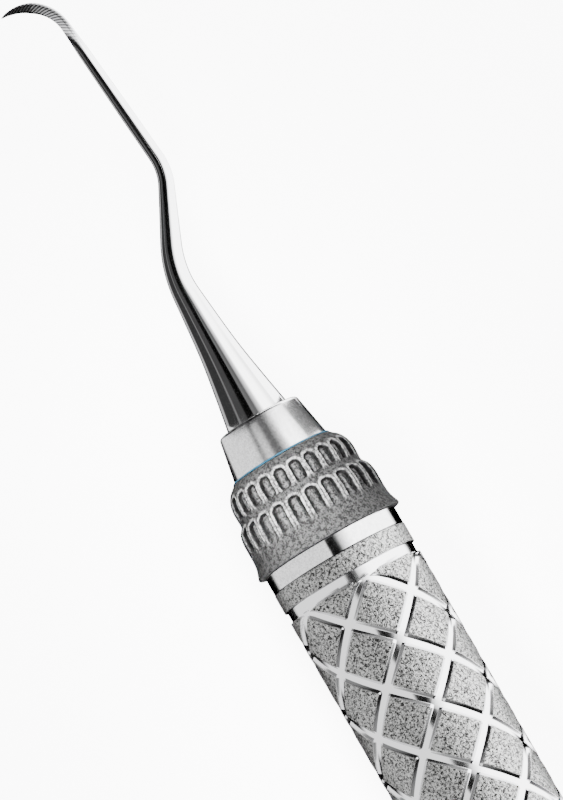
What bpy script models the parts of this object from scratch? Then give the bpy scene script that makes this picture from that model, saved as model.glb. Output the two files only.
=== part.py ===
"""A double-ended dental hand scaler with screw-in working ends, as one object for each piece.

Metres, +Z up. The handle's axis is X, the origin is the handle's centre, and the front working end points to +X.
Each end is modelled once, pointing to +X, and the rear one is the same set of pieces turned half a turn about Z.
"""

import math

import bmesh
import bpy

MM = 0.001

# Handle tube
TUBE_LENGTH = 93.5 * MM
TUBE_RADIUS = 4.75 * MM
TUBE_WALL = 0.8 * MM
TUBE_CHAMFER = 0.1 * MM
SATIN_BAND = 1.33 * MM  # plain band at each end of the tube
BAND_GROOVE = 0.75 * MM  # turned groove between that band and the grip pattern
BAND_GROOVE_DEPTH = 0.1 * MM

# Socket: hollow spigot in the tube, flange, seat for the grip and cone-shaped nose
SPIGOT_LENGTH = 6.0 * MM
SPIGOT_CHAMFER = 0.4 * MM
SPIGOT_WALL = 0.9 * MM
SPIGOT_WEB = 1.2 * MM  # solid metal between the spigot's hollow and the threaded hole
FLANGE_LENGTH = 1.2 * MM
FLANGE_STEP = 0.04 * MM  # how far the flange lies under the tube's surface
SEAT_RADIUS = 3.4 * MM
NOSE_LENGTH = 3.07 * MM  # from the grip's front face to the mouth
NOSE_WALL = 0.66 * MM  # metal round the hole's mouth
NOSE_EDGE = 0.22 * MM  # rounding at the nose's front edge

# Silicone grip. Its outline is (share of its length from the back, share of its thickness at the lip)
GRIP_LENGTH = 6.13 * MM
LIP_STAND = 0.38 * MM  # how far the lip stands out over the tube
GRIP_OUTLINE = [
    (0.00, 0.96),
    (0.011, 1.00),
    (0.040, 1.00),
    (0.075, 0.94),
    (0.13, 0.87),
    (0.20, 0.84),
    (0.43, 0.825),
    (0.50, 0.78),
    (0.545, 0.70),
    (0.59, 0.575),
    (0.77, 0.58),
    (0.85, 0.53),
    (0.92, 0.41),
    (0.97, 0.26),
]
CODE_BAND_LENGTH = 0.22 * MM
CODE_BAND_WALL = 0.22 * MM

# Working end outside the socket, measured along its centre line from the socket's mouth
SHANK_RUN = 9.1 * MM
FIRST_BEND_RADIUS = 8.0 * MM
FIRST_BEND_DEG = -25.3
MIDDLE_RUN = 3.7 * MM
SECOND_BEND_RADIUS = 4.0 * MM
SECOND_BEND_DEG = 30.0
TERMINAL_RUN = 10.25 * MM
BLADE_ARC_RADIUS = 2.8 * MM
BLADE_ARC_DEG = 96.5
SHANK_DIAMETERS = [
    (2.3, 3.50),
    (4.9, 2.68),
    (7.4, 2.14),
    (10.0, 1.68),
    (13.0, 1.36),
    (17.4, 1.00),
    (22.0, 0.91),
    (28.4, 0.74),
]
BLADE_HEIGHT = 0.66 * MM
BLADE_WIDTH = 0.84 * MM
BLADE_MORPH = 1.3 * MM  # length over which the round shank becomes the blade's section
TOE_TAPER = 1.9 * MM
TOE_TIP_SHARE = 0.06  # the toe's size, as a share of the blade's
BACK_ROUNDING = 0.45  # 0 for straight sides that meet at the back, 1 for an ellipse

# Tang of the working end inside the socket, measured inwards from the mouth
SEAT_RADIUS_AT_MOUTH = 2.16 * MM
SEAT_TAPER = 0.18 * MM  # how much narrower the seat is at its inner end
SEAT_TAPER_LENGTH = 2.0 * MM
SEAL_SECTION = 0.5 * MM
SEAL_SETBACK = 0.05 * MM  # how far the seal's outside lies under the seat's inner end
SEAL_GROOVE_LENGTH = 0.66 * MM
LAND_LENGTH = 0.3 * MM
LAND_RADIUS = 1.62 * MM
THREAD_PITCH = 0.8 * MM
THREAD_TURNS = 4
THREAD_CORE_RADIUS = 1.34 * MM
THREAD_DEPTH = 0.45 * THREAD_PITCH
THREAD_ROOT_WIDTH = 0.69 * THREAD_PITCH
THREAD_CREST_WIDTH = 0.19 * THREAD_PITCH
TANG_END_LENGTH = 0.5 * MM
TANG_END_CHAMFER = 0.2 * MM

# Clearances
FACE_GAP = 0.03 * MM  # between faces that rest on each other
FIT_GAP = 0.03 * MM  # around a press or sliding fit
THREAD_GAP = 0.06 * MM
SEAL_GAP = 0.06 * MM  # between the seal and the floor of its groove
BOTTOM_GAP = 0.6 * MM  # between the tang's end and the bottom of its hole

# Facets
TURNED_SIDES = 24
TIP_SIDES = 16
FACE_STEPS = 2  # facets of a tip section from the middle of the blade's face to its cutting edge
SHANK_STATIONS = 6
BEND_STATIONS = 4
BLADE_STATIONS = 9
SEAL_SIDES = 6

# Where each piece starts, outwards from the handle's centre
TUBE_END = TUBE_LENGTH / 2
FLANGE_BACK = TUBE_END + FACE_GAP
FLANGE_FRONT = FLANGE_BACK + FLANGE_LENGTH
GRIP_BACK = FLANGE_FRONT + FACE_GAP
GRIP_FRONT = GRIP_BACK + GRIP_LENGTH
CODE_BAND_BACK = GRIP_FRONT + FACE_GAP
MOUTH = GRIP_FRONT + NOSE_LENGTH
SEAL_GROOVE_FRONT = MOUTH - SEAT_TAPER_LENGTH
SEAL_GROOVE_BACK = SEAL_GROOVE_FRONT - SEAL_GROOVE_LENGTH
LAND_BACK = SEAL_GROOVE_BACK - LAND_LENGTH
THREAD_FRONT = LAND_BACK - THREAD_ROOT_WIDTH / 2
THREAD_BACK = THREAD_FRONT - THREAD_PITCH * THREAD_TURNS
TANG_BACK = THREAD_BACK - TANG_END_LENGTH
HOLE_BOTTOM = TANG_BACK - BOTTOM_GAP

TUBE_BORE_RADIUS = TUBE_RADIUS - TUBE_WALL
FLANGE_RADIUS = TUBE_RADIUS - FLANGE_STEP
LIP_RADIUS = TUBE_RADIUS + LIP_STAND
SEAT_INNER_RADIUS = SEAT_RADIUS_AT_MOUTH - SEAT_TAPER
SEAL_CENTRE_RADIUS = SEAT_INNER_RADIUS - SEAL_SECTION / 2 - SEAL_SETBACK


def around(radius, sides):
    """The corner radius of a polygon that a circle of this radius just fits inside."""
    return radius / math.cos(math.pi / sides)


def steel(name, grey, roughness):
    return finish(name, (grey, grey, grey * 1.01), roughness, 1.0)


def finish(name, colour, roughness, metallic):
    material = bpy.data.materials.new(name)
    material.use_nodes = True
    shader = material.node_tree.nodes["Principled BSDF"]
    shader.inputs["Base Color"].default_value = (*colour, 1.0)
    shader.inputs["Roughness"].default_value = roughness
    shader.inputs["Metallic"].default_value = metallic
    material.diffuse_color = (*colour, 1.0)
    return material


def clear_scene():
    for obj in list(bpy.data.objects):
        bpy.data.objects.remove(obj)


def mesh_from(bm, name):
    """A smooth-shaded mesh with sharp edges kept, from a closed bmesh whose faces are turned outwards."""
    bmesh.ops.remove_doubles(bm, verts=bm.verts, dist=1e-8)
    bmesh.ops.recalc_face_normals(bm, faces=bm.faces)
    mesh = bpy.data.meshes.new(name)
    bm.to_mesh(mesh)
    bm.free()
    mesh.shade_smooth()
    mesh.set_sharp_from_angle(angle=math.radians(30))
    return mesh


def turned(name, profile, sides, closed):
    """The solid that a profile of (distance along X, radius) makes about X.

    A closed profile makes a ring, and an open one starts and ends on the axis. A flat facet faces straight down.
    """
    bm = bmesh.new()
    first = math.pi / sides
    verts = [bm.verts.new((x, r * math.cos(first), r * math.sin(first))) for x, r in profile]
    pairs = list(zip(verts, verts[1:]))
    if closed:
        pairs.append((verts[-1], verts[0]))
    edges = [bm.edges.new(pair) for pair in pairs]
    bmesh.ops.spin(
        bm,
        geom=verts + edges,
        cent=(0, 0, 0),
        axis=(1, 0, 0),
        angle=math.tau,
        steps=sides,
        use_merge=True,
    )
    return mesh_from(bm, name)


def lofted(name, rings):
    """The solid through rings of points, each with as many points as the next, closed at both ends."""
    bm = bmesh.new()
    loops = [[bm.verts.new(point) for point in ring] for ring in rings]
    for near, far in zip(loops, loops[1:]):
        for i in range(len(near)):
            j = (i + 1) % len(near)
            bm.faces.new((near[i], near[j], far[j], far[i]))
    bm.faces.new(loops[0])
    bm.faces.new(loops[-1])
    return mesh_from(bm, name)


def thread_ridge(name, core_radius, crest_radius, root_width, crest_width, front, turns):
    """A right-hand helical ridge on the X axis that starts at front and runs inwards, rooted inside the core."""
    rooted = THREAD_DEPTH / 3
    slope = (root_width - crest_width) / 2 / (crest_radius - core_radius)
    rooted_half = root_width / 2 + slope * rooted
    section = [
        (-rooted_half, core_radius - rooted),
        (-crest_width / 2, crest_radius),
        (crest_width / 2, crest_radius),
        (rooted_half, core_radius - rooted),
    ]
    rings = []
    for step in range(round(turns * TIP_SIDES) + 1):
        angle = -math.tau * step / TIP_SIDES
        centre = front - THREAD_PITCH * step / TIP_SIDES
        rings.append([(centre + x, r * math.cos(angle), r * math.sin(angle)) for x, r in section])
    return lofted(name, rings)


def combined(mesh, other_mesh, operation):
    """The first mesh united with the second, or with the second cut away, as a new mesh."""
    body = bpy.data.objects.new("body", mesh)
    other = bpy.data.objects.new("other", other_mesh)
    for obj in (body, other):
        bpy.context.scene.collection.objects.link(obj)
    boolean = body.modifiers.new("boolean", "BOOLEAN")
    boolean.operation = operation
    boolean.solver = "EXACT"
    boolean.object = other
    graph = bpy.context.evaluated_depsgraph_get()
    result = bpy.data.meshes.new_from_object(body.evaluated_get(graph))
    result.name = mesh.name
    for obj in (body, other):
        bpy.data.objects.remove(obj)
    return result


def handle_tube():
    """Tube with a plain band and a turned groove at each end of the grip pattern's stretch."""
    groove_end = TUBE_END - SATIN_BAND
    groove_start = groove_end - BAND_GROOVE
    bore = around(TUBE_BORE_RADIUS, TURNED_SIDES)
    half = [
        (groove_start, TUBE_RADIUS),
        (groove_start, TUBE_RADIUS - BAND_GROOVE_DEPTH),
        (groove_end, TUBE_RADIUS - BAND_GROOVE_DEPTH),
        (groove_end, TUBE_RADIUS),
        (TUBE_END - TUBE_CHAMFER, TUBE_RADIUS),
        (TUBE_END, TUBE_RADIUS - TUBE_CHAMFER),
        (TUBE_END, bore),
    ]
    profile = half + [(-x, r) for x, r in reversed(half)]
    return turned("handle_tube", profile, TURNED_SIDES, closed=True)


def socket():
    """Spigot, flange, grip seat and nose in one turned piece, with a tapered and threaded blind hole."""
    hole = [
        (HOLE_BOTTOM, 0.0),
        (HOLE_BOTTOM, around(THREAD_CORE_RADIUS + THREAD_GAP, TURNED_SIDES)),
        (LAND_BACK - FACE_GAP, around(THREAD_CORE_RADIUS + THREAD_GAP, TURNED_SIDES)),
        (LAND_BACK - FACE_GAP, around(SEAT_INNER_RADIUS + FIT_GAP, TURNED_SIDES)),
        (SEAL_GROOVE_FRONT, around(SEAT_INNER_RADIUS + FIT_GAP, TURNED_SIDES)),
        (MOUTH, around(SEAT_RADIUS_AT_MOUTH + FIT_GAP, TURNED_SIDES)),
    ]
    nose_radius = SEAT_RADIUS_AT_MOUTH + FIT_GAP + NOSE_WALL
    spigot_radius = TUBE_BORE_RADIUS - FIT_GAP
    hollow_radius = min(spigot_radius, SEAT_RADIUS) - SPIGOT_WALL
    spigot_back = TUBE_END - SPIGOT_LENGTH
    outside = [
        (MOUTH, nose_radius - NOSE_EDGE),
        (MOUTH - NOSE_EDGE * 0.3, nose_radius - NOSE_EDGE * 0.3),
        (MOUTH - NOSE_EDGE, nose_radius + NOSE_EDGE * 0.1),
        (GRIP_FRONT, SEAT_RADIUS),
        (FLANGE_FRONT, SEAT_RADIUS),
        (FLANGE_FRONT, FLANGE_RADIUS),
        (FLANGE_BACK, FLANGE_RADIUS),
        (FLANGE_BACK, spigot_radius),
        (spigot_back + SPIGOT_CHAMFER, spigot_radius),
        (spigot_back, spigot_radius - SPIGOT_CHAMFER),
        (spigot_back, hollow_radius),
        (HOLE_BOTTOM - SPIGOT_WEB, hollow_radius),
        (HOLE_BOTTOM - SPIGOT_WEB, 0.0),
    ]
    blank = turned("socket", hole + outside, TURNED_SIDES, closed=False)
    root_width = THREAD_ROOT_WIDTH + THREAD_GAP * 2
    thread = thread_ridge(
        "socket_thread",
        THREAD_CORE_RADIUS + THREAD_GAP,
        THREAD_CORE_RADIUS + THREAD_DEPTH + THREAD_GAP,
        root_width,
        THREAD_CREST_WIDTH + THREAD_GAP * 2,
        THREAD_FRONT + THREAD_PITCH,
        THREAD_TURNS + 1.3,
    )
    return combined(blank, thread, "DIFFERENCE")


def grip():
    """Silicone ring with two tiers and a flared lip, over the socket's seat."""
    bore = around(SEAT_RADIUS + FIT_GAP, TURNED_SIDES)
    thickness = around(LIP_RADIUS, TURNED_SIDES) - bore
    outline = [(GRIP_BACK + x * GRIP_LENGTH, bore + thickness * t) for x, t in GRIP_OUTLINE]
    mouth_edge = [(GRIP_FRONT, bore + FIT_GAP * 2), (GRIP_FRONT, bore), (GRIP_BACK, bore)]
    return turned("grip_ring", outline + mouth_edge, TURNED_SIDES, closed=True)


def code_band():
    """Thin colour band round the nose, in front of the grip."""
    inner = around(SEAT_RADIUS + FIT_GAP, TURNED_SIDES)
    front = CODE_BAND_BACK + CODE_BAND_LENGTH
    profile = [
        (CODE_BAND_BACK, inner),
        (CODE_BAND_BACK, inner + CODE_BAND_WALL),
        (front, inner + CODE_BAND_WALL * 0.6),
        (front, inner),
    ]
    return turned("code_band", profile, TURNED_SIDES, closed=True)


def seal():
    """O-ring in the tang's groove."""
    centre = (SEAL_GROOVE_FRONT + SEAL_GROOVE_BACK) / 2
    profile = []
    for i in range(SEAL_SIDES):
        angle = math.tau * (i + 0.5) / SEAL_SIDES
        profile.append(
            (
                centre + SEAL_SECTION / 2 * math.cos(angle),
                SEAL_CENTRE_RADIUS + SEAL_SECTION / 2 * math.sin(angle),
            )
        )
    return turned("tip_seal", profile, TIP_SIDES, closed=True)


def centre_line():
    """Stations (distance along, x, y, heading) of the working end's centre line outside the socket."""
    stations = [(0.0, MOUTH, 0.0, 0.0)]

    def run(length, count):
        along, x, y, heading = stations[-1]
        for i in range(1, count + 1):
            step = length * i / count
            stations.append(
                (along + step, x + step * math.cos(heading), y + step * math.sin(heading), heading)
            )

    def bend(radius, degrees, count):
        for _ in range(count):
            along, x, y, heading = stations[-1]
            turn = math.radians(degrees) / count
            chord = 2 * radius * math.sin(abs(turn) / 2)
            middle = heading + turn / 2
            stations.append(
                (
                    along + radius * abs(turn),
                    x + chord * math.cos(middle),
                    y + chord * math.sin(middle),
                    heading + turn,
                )
            )

    run(SHANK_RUN, SHANK_STATIONS)
    bend(FIRST_BEND_RADIUS, FIRST_BEND_DEG, BEND_STATIONS)
    run(MIDDLE_RUN, 2)
    bend(SECOND_BEND_RADIUS, SECOND_BEND_DEG, BEND_STATIONS)
    run(TERMINAL_RUN, 2)
    blade_start = stations[-1][0]
    bend(BLADE_ARC_RADIUS, BLADE_ARC_DEG, BLADE_STATIONS)
    return stations, blade_start


def shank_radius(along):
    """The round shank's radius, from a smooth curve through its diameters."""
    table = [(0.0, SEAT_RADIUS_AT_MOUTH)] + [(s * MM, d * MM / 2) for s, d in SHANK_DIAMETERS]
    last = len(table) - 1
    if along >= table[last][0]:
        return table[last][1]
    i = max(k for k in range(last) if table[k][0] <= along)

    def slope(k):
        low, high = max(k - 1, 0), min(k + 1, last)
        return (table[high][1] - table[low][1]) / (table[high][0] - table[low][0])

    (s0, r0), (s1, r1) = table[i], table[i + 1]
    span = s1 - s0
    t = (along - s0) / span
    return (
        r0 * (2 * t**3 - 3 * t**2 + 1)
        + r1 * (3 * t**2 - 2 * t**3)
        + slope(i) * span * (t**3 - 2 * t**2 + t)
        + slope(i + 1) * span * (t**3 - t**2)
    )


def round_section(radius):
    """Points (towards the blade's face, across) of a round section, from the middle of the face's side."""
    steps = [math.tau * k / TIP_SIDES for k in range(TIP_SIDES)]
    return [(radius * math.cos(a), radius * math.sin(a)) for a in steps]


def blade_section(size):
    """Points of the blade's section: a flat face with a cutting edge on each side, and sides that meet at the back."""
    half_height, half_width = BLADE_HEIGHT * size / 2, BLADE_WIDTH * size / 2
    back = TIP_SIDES // 2
    one_side = []
    for k in range(back + 1):
        if k <= FACE_STEPS:
            one_side.append((half_height, half_width * k / FACE_STEPS))
            continue
        share = (k - FACE_STEPS) / (back - FACE_STEPS)
        straight = (1 - 2 * share, 1 - share)
        angle = math.pi / 2 * share
        curved = (1 - 2 * math.sin(angle), math.cos(angle))
        height, width = (
            s + (c - s) * BACK_ROUNDING for s, c in zip(straight, curved)
        )
        one_side.append((half_height * height, half_width * width))
    return one_side + [(n, -b) for n, b in reversed(one_side[1:back])]


def working_end():
    """Threaded tang, cone, bent shank and curved blade in one piece."""
    tang = [
        (TANG_BACK, THREAD_CORE_RADIUS - TANG_END_CHAMFER),
        (TANG_BACK + TANG_END_CHAMFER, THREAD_CORE_RADIUS),
        (LAND_BACK, THREAD_CORE_RADIUS),
        (LAND_BACK, LAND_RADIUS),
        (SEAL_GROOVE_BACK, LAND_RADIUS),
        (SEAL_GROOVE_BACK, SEAL_CENTRE_RADIUS - SEAL_SECTION / 2 - SEAL_GAP),
        (SEAL_GROOVE_FRONT, SEAL_CENTRE_RADIUS - SEAL_SECTION / 2 - SEAL_GAP),
        (SEAL_GROOVE_FRONT, SEAT_INNER_RADIUS),
        (MOUTH - FACE_GAP, SEAT_RADIUS_AT_MOUTH - FIT_GAP),
    ]
    rings = [[(x, n, b) for n, b in round_section(r)] for x, r in tang]
    stations, blade_start = centre_line()
    end = stations[-1][0]
    for along, x, y, heading in stations:
        points = round_section(shank_radius(along))
        if along > blade_start - BLADE_MORPH:
            morph = min(1.0, (along - blade_start + BLADE_MORPH) / BLADE_MORPH)
            left = end - along
            size = 1.0
            if left < TOE_TAPER:
                size = TOE_TIP_SHARE + (1 - TOE_TIP_SHARE) * (left / TOE_TAPER) ** 0.75
            blade = blade_section(size)
            points = [
                (n + (m - n) * morph, b + (c - b) * morph)
                for (n, b), (m, c) in zip(points, blade)
            ]
        rings.append(
            [(x - n * math.sin(heading), y + n * math.cos(heading), b) for n, b in points]
        )
    thread = thread_ridge(
        "tang_thread",
        THREAD_CORE_RADIUS,
        THREAD_CORE_RADIUS + THREAD_DEPTH,
        THREAD_ROOT_WIDTH,
        THREAD_CREST_WIDTH,
        THREAD_FRONT,
        THREAD_TURNS,
    )
    return combined(lofted("working_end", rings), thread, "UNION")


def place(name, mesh, material, parent):
    obj = bpy.data.objects.new(name, mesh)
    bpy.context.scene.collection.objects.link(obj)
    if not mesh.materials:
        mesh.materials.append(material)
    obj.parent = parent
    return obj


def main():
    clear_scene()
    satin_steel = steel("satin_steel", 0.46, 0.42)
    turned_steel = steel("turned_steel", 0.62, 0.22)
    polished_steel = steel("polished_steel", 0.68, 0.1)
    grey_silicone = finish("grey_silicone", (0.1, 0.102, 0.1), 0.6, 0.0)
    blue_band = finish("blue_band", (0.08, 0.33, 0.5), 0.45, 0.0)
    seal_rubber = finish("seal_rubber", (0.02, 0.02, 0.02), 0.7, 0.0)

    place("handle_tube", handle_tube(), satin_steel, None)
    pieces = [
        ("socket", socket(), turned_steel),
        ("grip_ring", grip(), grey_silicone),
        ("code_band", code_band(), blue_band),
        ("tip_seal", seal(), seal_rubber),
        ("working_end", working_end(), polished_steel),
    ]
    for end, turn in (("front", 0.0), ("rear", math.pi)):
        holder = bpy.data.objects.new(end + "_end", None)
        holder.rotation_euler.z = turn
        bpy.context.scene.collection.objects.link(holder)
        for name, mesh, material in pieces:
            place(end + "_" + name, mesh, material, holder)


main()
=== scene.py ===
import math

import bmesh
import bpy
import numpy as np
from mathutils import Matrix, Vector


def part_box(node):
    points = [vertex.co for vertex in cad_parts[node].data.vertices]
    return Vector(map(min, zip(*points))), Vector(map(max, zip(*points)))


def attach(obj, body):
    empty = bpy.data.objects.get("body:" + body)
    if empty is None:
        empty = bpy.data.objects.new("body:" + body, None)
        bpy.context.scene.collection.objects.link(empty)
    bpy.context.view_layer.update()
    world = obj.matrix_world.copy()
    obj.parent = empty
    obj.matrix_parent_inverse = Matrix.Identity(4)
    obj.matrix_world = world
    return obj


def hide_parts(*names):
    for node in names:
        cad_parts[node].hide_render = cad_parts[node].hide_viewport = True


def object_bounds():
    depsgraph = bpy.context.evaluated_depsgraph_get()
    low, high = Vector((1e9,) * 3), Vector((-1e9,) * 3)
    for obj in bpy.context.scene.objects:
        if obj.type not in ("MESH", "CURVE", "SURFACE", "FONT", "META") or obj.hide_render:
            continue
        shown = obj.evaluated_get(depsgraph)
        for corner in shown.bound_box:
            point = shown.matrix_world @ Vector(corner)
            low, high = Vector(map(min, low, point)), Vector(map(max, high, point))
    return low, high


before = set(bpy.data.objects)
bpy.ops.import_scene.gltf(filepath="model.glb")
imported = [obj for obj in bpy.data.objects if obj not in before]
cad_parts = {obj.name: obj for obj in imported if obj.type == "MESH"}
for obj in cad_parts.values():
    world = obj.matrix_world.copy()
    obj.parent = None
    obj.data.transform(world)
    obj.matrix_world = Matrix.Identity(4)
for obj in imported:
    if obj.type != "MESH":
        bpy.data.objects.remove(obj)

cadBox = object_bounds()
mm = 0.001


def smoothStep(low, high, value):
    # 0 below low, 1 above high, and the cubic 3t^2 - 2t^3 between them
    share = np.clip((value - low) / (high - low), 0.0, 1.0)
    return share * share * (3.0 - 2.0 * share)


def smoothCurve(knots, values, at):
    # cubic Hermite curve through (knots, values), with each slope taken across the two neighbours
    knots, values = np.asarray(knots, float), np.asarray(values, float)
    slopes = np.gradient(values, knots)
    i = np.clip(np.searchsorted(knots, at, side="right") - 1, 0, len(knots) - 2)
    span = knots[i + 1] - knots[i]
    t = np.clip((at - knots[i]) / span, 0.0, 1.0)
    return (
        values[i] * (2 * t**3 - 3 * t**2 + 1)
        + values[i + 1] * (3 * t**2 - 2 * t**3)
        + slopes[i] * span * (t**3 - 2 * t**2 + t)
        + slopes[i + 1] * span * (t**3 - t**2)
    )


def roundedOutline(corners, closed, steps=4):
    # each corner is (x, radius, cut): the corner is cut back by that much along both of its sides,
    # and the two cuts are joined by the curve (1-t)^2 start + 2t(1-t) corner + t^2 end
    points = np.array([(x, r) for x, r, cut in corners])
    outline = []
    for i, (x, r, cut) in enumerate(corners):
        here = points[i]
        if cut == 0 or (not closed and i in (0, len(corners) - 1)):
            outline.append(here[None])
            continue
        before, after = points[i - 1] - here, points[(i + 1) % len(points)] - here
        start = here + before / np.linalg.norm(before) * min(cut, 0.45 * np.linalg.norm(before))
        end = here + after / np.linalg.norm(after) * min(cut, 0.45 * np.linalg.norm(after))
        t = np.linspace(0, 1, steps + 1)[:, None]
        outline.append((1 - t) ** 2 * start + 2 * t * (1 - t) * here + t**2 * end)
    return np.concatenate(outline)


def linkObject(name, data):
    made = bpy.data.objects.new(name, data)
    bpy.context.scene.collection.objects.link(made)
    return made


def readPoints(mesh):
    points = np.empty(len(mesh.vertices) * 3, np.float32)
    mesh.vertices.foreach_get("co", points)
    return points.reshape(-1, 3).astype(float)


def gridFaces(rows, columns, closeRows=False):
    # four-sided faces between neighbouring rows and columns, with the last column joined to the first
    row = np.arange(rows if closeRows else rows - 1)[:, None]
    column = np.arange(columns)[None]
    nextRow, nextColumn = (row + 1) % rows, (column + 1) % columns
    corners = [
        row * columns + column,
        row * columns + nextColumn,
        nextRow * columns + nextColumn,
        nextRow * columns + column,
    ]
    return np.stack([np.broadcast_to(c, (row.size, columns)) for c in corners], axis=-1).reshape(-1, 4)


def makePiece(name, points, faces, attributes=None, sharpDegrees=40):
    # a smooth-shaded object whose faces point outwards: they are turned round if the volume inside them,
    # which is the sum of a . (b x c) / 6 over their triangles, is negative
    points = np.asarray(points, float)
    lists = [np.asarray(f) for f in faces]
    volume = 0.0
    for f in lists:
        for k in range(1, f.shape[1] - 1):
            a, b, c = points[f[:, 0]], points[f[:, k]], points[f[:, k + 1]]
            volume += np.einsum("ij,ij->", a, np.cross(b, c))
    if volume < 0:
        lists = [f[:, ::-1] for f in lists]
    mesh = bpy.data.meshes.new(name)
    mesh.from_pydata(points.tolist(), [], [face for f in lists for face in f.tolist()])
    for key, values in (attributes or {}).items():
        layer = mesh.attributes.new(key, "FLOAT", "POINT")
        layer.data.foreach_set("value", np.asarray(values, np.float32))
    mesh.shade_smooth()
    mesh.set_sharp_from_angle(angle=math.radians(sharpDegrees))
    return linkObject(name, mesh)


def turnedPoints(x, radius, columns, angle=None):
    # the point of row i and column j is (x_i, r_ij cos a_j, r_ij sin a_j),
    # with the angles a_j even round the X axis unless they are given
    angle = np.arange(columns) * math.tau / columns if angle is None else angle
    radius = np.broadcast_to(np.asarray(radius, float).reshape(len(x), -1), (len(x), columns))
    x = np.broadcast_to(np.asarray(x, float)[:, None], radius.shape)
    return np.stack([x, radius * np.cos(angle), radius * np.sin(angle)], axis=-1)


def capFaces(columns, rows, lastPole):
    # three-sided faces from the first row to a pole point before the grid, or from the last row to one after it
    column = np.arange(columns)
    nextColumn = (column + 1) % columns
    if lastPole:
        row = 1 + (rows - 1) * columns
        pole = np.full(columns, 1 + rows * columns)
        return np.stack([row + column, row + nextColumn, pole], axis=-1)
    return np.stack([1 + nextColumn, 1 + column, np.zeros(columns, int)], axis=-1)


def turnedRing(name, outline, columns, **options):
    # a closed outline turned about the X axis
    points = turnedPoints(outline[:, 0], outline[:, 1], columns).reshape(-1, 3)
    return makePiece(name, points, [gridFaces(len(outline), columns, closeRows=True)], **options)


def polarSolid(name, rows, first, last, attributes=None, **options):
    # a grid of rows round a solid, closed by a point at each end
    count, columns = rows.shape[:2]
    points = np.concatenate([[first], rows.reshape(-1, 3), [last]])
    faces = [gridFaces(count, columns) + 1, capFaces(columns, count, False), capFaces(columns, count, True)]
    values = {k: np.concatenate([[v.flat[0]], v.ravel(), [v.flat[-1]]]) for k, v in (attributes or {}).items()}
    return makePiece(name, points, faces, attributes=values, **options)


def turnedRound(piece):
    # the rear end's copy of a piece: half a turn about Z, which keeps its screw thread right-handed
    mesh = piece.data.copy()
    flipped = readPoints(mesh) * [-1.0, -1.0, 1.0]
    mesh.vertices.foreach_set("co", flipped.astype(np.float32).ravel())
    mesh.update()
    return linkObject(piece.name.replace("front", "rear"), mesh)


def outerRadius(node):
    points = readPoints(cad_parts[node].data)
    return float(np.hypot(points[:, 1], points[:, 2]).max())


def socketGroup(name, inputs, outputs):
    # an empty shader node group with number inputs given as name: default
    group = bpy.data.node_groups.new(name, "ShaderNodeTree")
    for key, value in inputs.items():
        group.interface.new_socket(key, in_out="INPUT", socket_type="NodeSocketFloat").default_value = value
    for key in outputs:
        group.interface.new_socket(key, in_out="OUTPUT", socket_type="NodeSocketFloat")
    return group, group.nodes.new("NodeGroupInput"), group.nodes.new("NodeGroupOutput")


def feed(tree, node, values):
    # values for a node's inputs, by name or number: an output to link, a number, or a colour's three parts
    for key, value in values.items():
        if isinstance(value, bpy.types.NodeSocket):
            tree.links.new(value, node.inputs[key])
        else:
            node.inputs[key].default_value = (*value, 1.0) if isinstance(value, tuple) else value


def coordinates(tree, output="Object"):
    return tree.nodes.new("ShaderNodeTexCoord").outputs[output]


def mathNode(tree, operation, first, second=0.0, clamp=False):
    node = tree.nodes.new("ShaderNodeMath")
    node.operation = operation
    node.use_clamp = clamp
    feed(tree, node, {0: first, 1: second})
    return node.outputs[0]


def rangeNode(tree, value, fromLow, fromHigh, toLow, toHigh, smooth=False):
    node = tree.nodes.new("ShaderNodeMapRange")
    node.interpolation_type = "SMOOTHSTEP" if smooth else "LINEAR"
    limits = {"From Min": fromLow, "From Max": fromHigh, "To Min": toLow, "To Max": toHigh}
    feed(tree, node, {"Value": value, **limits})
    return node.outputs["Result"]


def noiseNode(tree, vector, scale, detail=2.0, rough=0.5):
    node = tree.nodes.new("ShaderNodeTexNoise")
    feed(tree, node, {"Vector": vector, "Scale": scale, "Detail": detail, "Roughness": rough})
    return node.outputs["Fac"]


def blastGrainGroup():
    # the pitted grain of a blasted or moulded surface: two sizes of noise, with the contrast raised
    coarseScale, coarseShare = 0.45, 0.35
    inputs = {"GrainsPerMetre": 7000.0, "Contrast": 1.0}
    group, given, result = socketGroup("blastGrain", inputs, ["Height", "Tone"])
    place = coordinates(group)
    fine = noiseNode(group, place, given.outputs["GrainsPerMetre"], 1.0)
    coarser = mathNode(group, "MULTIPLY", given.outputs["GrainsPerMetre"], coarseScale)
    coarse = noiseNode(group, place, coarser, 0.0)
    finePart = mathNode(group, "MULTIPLY", fine, 1 - coarseShare)
    both = mathNode(group, "ADD", finePart, mathNode(group, "MULTIPLY", coarse, coarseShare))
    sharp = rangeNode(group, both, 0.36, 0.64, 0.0, 1.0)
    group.links.new(sharp, result.inputs["Height"])
    centred = mathNode(group, "MULTIPLY", mathNode(group, "SUBTRACT", sharp, 0.5), given.outputs["Contrast"])
    group.links.new(mathNode(group, "ADD", centred, 0.5, clamp=True), result.inputs["Tone"])
    return group


def turnedLinesGroup():
    # fine lines round a lathe-turned surface: noise that changes quickly along X and hardly round it
    group, given, result = socketGroup("turnedLines", {"LinesPerMetre": 20000.0}, ["Height"])
    stretch = group.nodes.new("ShaderNodeMapping")
    stretch.inputs["Scale"].default_value = (1.0, 0.02, 0.02)
    group.links.new(coordinates(group), stretch.inputs["Vector"])
    lines = noiseNode(group, stretch.outputs["Vector"], given.outputs["LinesPerMetre"], 2.0)
    group.links.new(lines, result.inputs["Height"])
    return group


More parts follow.
